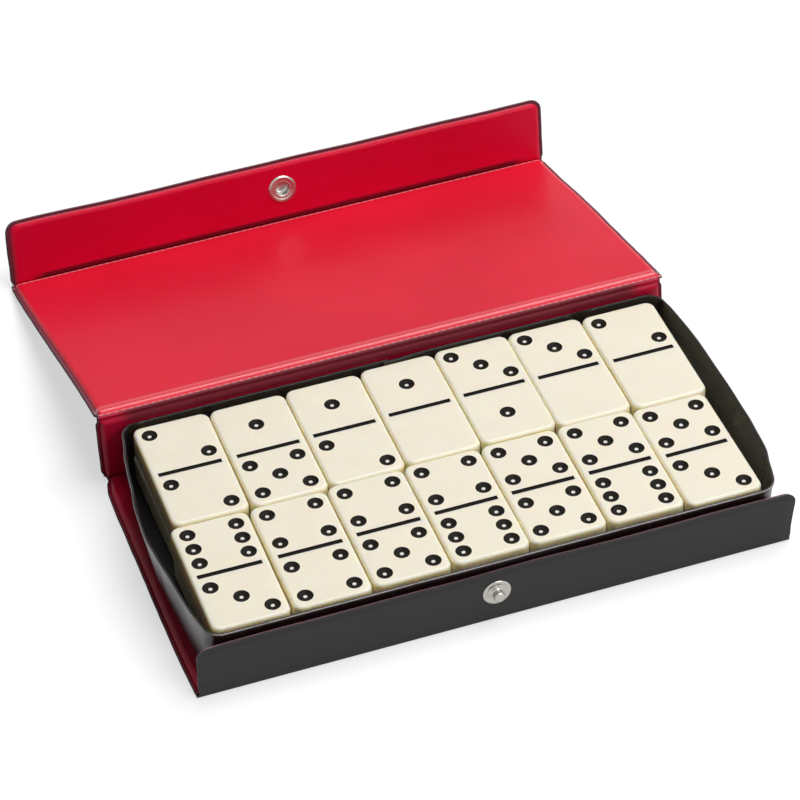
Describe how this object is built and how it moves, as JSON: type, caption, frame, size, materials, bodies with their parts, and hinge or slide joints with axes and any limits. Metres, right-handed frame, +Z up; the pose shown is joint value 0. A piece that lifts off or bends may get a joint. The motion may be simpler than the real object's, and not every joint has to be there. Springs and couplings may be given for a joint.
{
  "type": "domino storage box",
  "caption": "Folding black vinyl case with red lining, lid on a spine, snap flap and an open tray band that holds a double-six set of ivory dominoes in two layers.",
  "frame": {"origin": "middle of the base panel's underside, on the table", "axes": "+X along the case to the right, +Y to the back where the lid lies open, +Z up"},
  "size_m": [0.1932, 0.2176, 0.0266],
  "materials": {
    "outer_vinyl": "satin black vinyl sheet",
    "tray_vinyl": "glossy black vinyl strip",
    "red_lining": "glossy red vinyl lining",
    "dark_red_lining": "glossy red vinyl lining, in shade",
    "board": "plain grey board",
    "snap_metal": "nickel-plated",
    "ivory": "ivory moulded plastic with black sunk pips"
  },
  "bodies": {
    "case": {"base_sheet": "outer_vinyl", "base_board": "board", "base_lining": "red_lining", "front_sheet": "outer_vinyl", "front_board": "board", "front_lining": "red_lining", "tray_band": "tray_vinyl", "tray_floor": "tray_vinyl", "snap_stud": "snap_metal", "stud_washer": "snap_metal"},
    "spine": {"spine_sheet": "outer_vinyl", "spine_board": "board", "spine_lining": "dark_red_lining"},
    "lid": {"lid_sheet": "outer_vinyl", "lid_board": "board", "lid_lining": "red_lining"},
    "flap": {"flap_sheet": "outer_vinyl", "flap_board": "board", "flap_lining": "dark_red_lining", "snap_socket": "snap_metal", "socket_cap": "snap_metal"},
    "tile_0_0": {"domino_0_0": "ivory"},
    "tile_3_6": {"domino_3_6": "ivory"},
    "tile_0_4": {"domino_0_4": "ivory"},
    "tile_4_4": {"domino_4_4": "ivory"},
    "tile_0_5": {"domino_0_5": "ivory"},
    "tile_4_5": {"domino_4_5": "ivory"},
    "tile_0_6": {"domino_0_6": "ivory"},
    "tile_4_6": {"domino_4_6": "ivory"},
    "tile_1_1": {"domino_1_1": "ivory"},
    "tile_5_5": {"domino_5_5": "ivory"},
    "tile_1_4": {"domino_1_4": "ivory"},
    "tile_5_6": {"domino_5_6": "ivory"},
    "tile_1_6": {"domino_1_6": "ivory"},
    "tile_3_5": {"domino_3_5": "ivory"},
    "tile_2_3": {"domino_2_3": "ivory"},
    "tile_2_2": {"domino_2_2": "ivory"},
    "tile_2_4": {"domino_2_4": "ivory"},
    "tile_1_5": {"domino_1_5": "ivory"},
    "tile_2_5": {"domino_2_5": "ivory"},
    "tile_1_2": {"domino_1_2": "ivory"},
    "tile_2_6": {"domino_2_6": "ivory"},
    "tile_0_1": {"domino_0_1": "ivory"},
    "tile_3_3": {"domino_3_3": "ivory"},
    "tile_1_3": {"domino_1_3": "ivory"},
    "tile_3_4": {"domino_3_4": "ivory"},
    "tile_0_3": {"domino_0_3": "ivory"},
    "tile_6_6": {"domino_6_6": "ivory"},
    "tile_0_2": {"domino_0_2": "ivory"}
  },
  "joints": [
    {"name": "spine_fold", "type": "hinge", "parent": "case", "child": "spine", "pos_m": [0, 0.05185, 0.00055], "axis": [1, 0, 0], "range_deg": [-90, 0]},
    {"name": "lid_fold", "type": "hinge", "parent": "spine", "child": "lid", "pos_m": [0, 0.05185, 0.026], "axis": [-1, 0, 0], "range_deg": [-194.81, 0]},
    {"name": "flap_fold", "type": "hinge", "parent": "lid", "child": "flap", "pos_m": [0, 0.15557, 0.00055], "axis": [-1, 0, 0], "range_deg": [0, 65]},
    {"name": "lift_0_0", "type": "slide", "parent": "case", "child": "tile_0_0", "axis": [0, 0, 1], "range_m": [0, 0.03]},
    {"name": "lift_3_6", "type": "slide", "parent": "tile_0_0", "child": "tile_3_6", "axis": [0, 0, 1], "range_m": [0, 0.03]},
    {"name": "lift_0_4", "type": "slide", "parent": "case", "child": "tile_0_4", "axis": [0, 0, 1], "range_m": [0, 0.03]},
    {"name": "lift_4_4", "type": "slide", "parent": "tile_0_4", "child": "tile_4_4", "axis": [0, 0, 1], "range_m": [0, 0.03]},
    {"name": "lift_0_5", "type": "slide", "parent": "case", "child": "tile_0_5", "axis": [0, 0, 1], "range_m": [0, 0.03]},
    {"name": "lift_4_5", "type": "slide", "parent": "tile_0_5", "child": "tile_4_5", "axis": [0, 0, 1], "range_m": [0, 0.03]},
    {"name": "lift_0_6", "type": "slide", "parent": "case", "child": "tile_0_6", "axis": [0, 0, 1], "range_m": [0, 0.03]},
    {"name": "lift_4_6", "type": "slide", "parent": "tile_0_6", "child": "tile_4_6", "axis": [0, 0, 1], "range_m": [0, 0.03]},
    {"name": "lift_1_1", "type": "slide", "parent": "case", "child": "tile_1_1", "axis": [0, 0, 1], "range_m": [0, 0.03]},
    {"name": "lift_5_5", "type": "slide", "parent": "tile_1_1", "child": "tile_5_5", "axis": [0, 0, 1], "range_m": [0, 0.03]},
    {"name": "lift_1_4", "type": "slide", "parent": "case", "child": "tile_1_4", "axis": [0, 0, 1], "range_m": [0, 0.03]},
    {"name": "lift_5_6", "type": "slide", "parent": "tile_1_4", "child": "tile_5_6", "axis": [0, 0, 1], "range_m": [0, 0.03]},
    {"name": "lift_1_6", "type": "slide", "parent": "case", "child": "tile_1_6", "axis": [0, 0, 1], "range_m": [0, 0.03]},
    {"name": "lift_3_5", "type": "slide", "parent": "tile_1_6", "child": "tile_3_5", "axis": [0, 0, 1], "range_m": [0, 0.03]},
    {"name": "lift_2_3", "type": "slide", "parent": "case", "child": "tile_2_3", "axis": [0, 0, 1], "range_m": [0, 0.03]},
    {"name": "lift_2_2", "type": "slide", "parent": "tile_2_3", "child": "tile_2_2", "axis": [0, 0, 1], "range_m": [0, 0.03]},
    {"name": "lift_2_4", "type": "slide", "parent": "case", "child": "tile_2_4", "axis": [0, 0, 1], "range_m": [0, 0.03]},
    {"name": "lift_1_5", "type": "slide", "parent": "tile_2_4", "child": "tile_1_5", "axis": [0, 0, 1], "range_m": [0, 0.03]},
    {"name": "lift_2_5", "type": "slide", "parent": "case", "child": "tile_2_5", "axis": [0, 0, 1], "range_m": [0, 0.03]},
    {"name": "lift_1_2", "type": "slide", "parent": "tile_2_5", "child": "tile_1_2", "axis": [0, 0, 1], "range_m": [0, 0.03]},
    {"name": "lift_2_6", "type": "slide", "parent": "case", "child": "tile_2_6", "axis": [0, 0, 1], "range_m": [0, 0.03]},
    {"name": "lift_0_1", "type": "slide", "parent": "tile_2_6", "child": "tile_0_1", "axis": [0, 0, 1], "range_m": [0, 0.03]},
    {"name": "lift_3_3", "type": "slide", "parent": "case", "child": "tile_3_3", "axis": [0, 0, 1], "range_m": [0, 0.03]},
    {"name": "lift_1_3", "type": "slide", "parent": "tile_3_3", "child": "tile_1_3", "axis": [0, 0, 1], "range_m": [0, 0.03]},
    {"name": "lift_3_4", "type": "slide", "parent": "case", "child": "tile_3_4", "axis": [0, 0, 1], "range_m": [0, 0.03]},
    {"name": "lift_0_3", "type": "slide", "parent": "tile_3_4", "child": "tile_0_3", "axis": [0, 0, 1], "range_m": [0, 0.03]},
    {"name": "lift_6_6", "type": "slide", "parent": "case", "child": "tile_6_6", "axis": [0, 0, 1], "range_m": [0, 0.03]},
    {"name": "lift_0_2", "type": "slide", "parent": "tile_6_6", "child": "tile_0_2", "axis": [0, 0, 1], "range_m": [0, 0.03]}
  ]
}
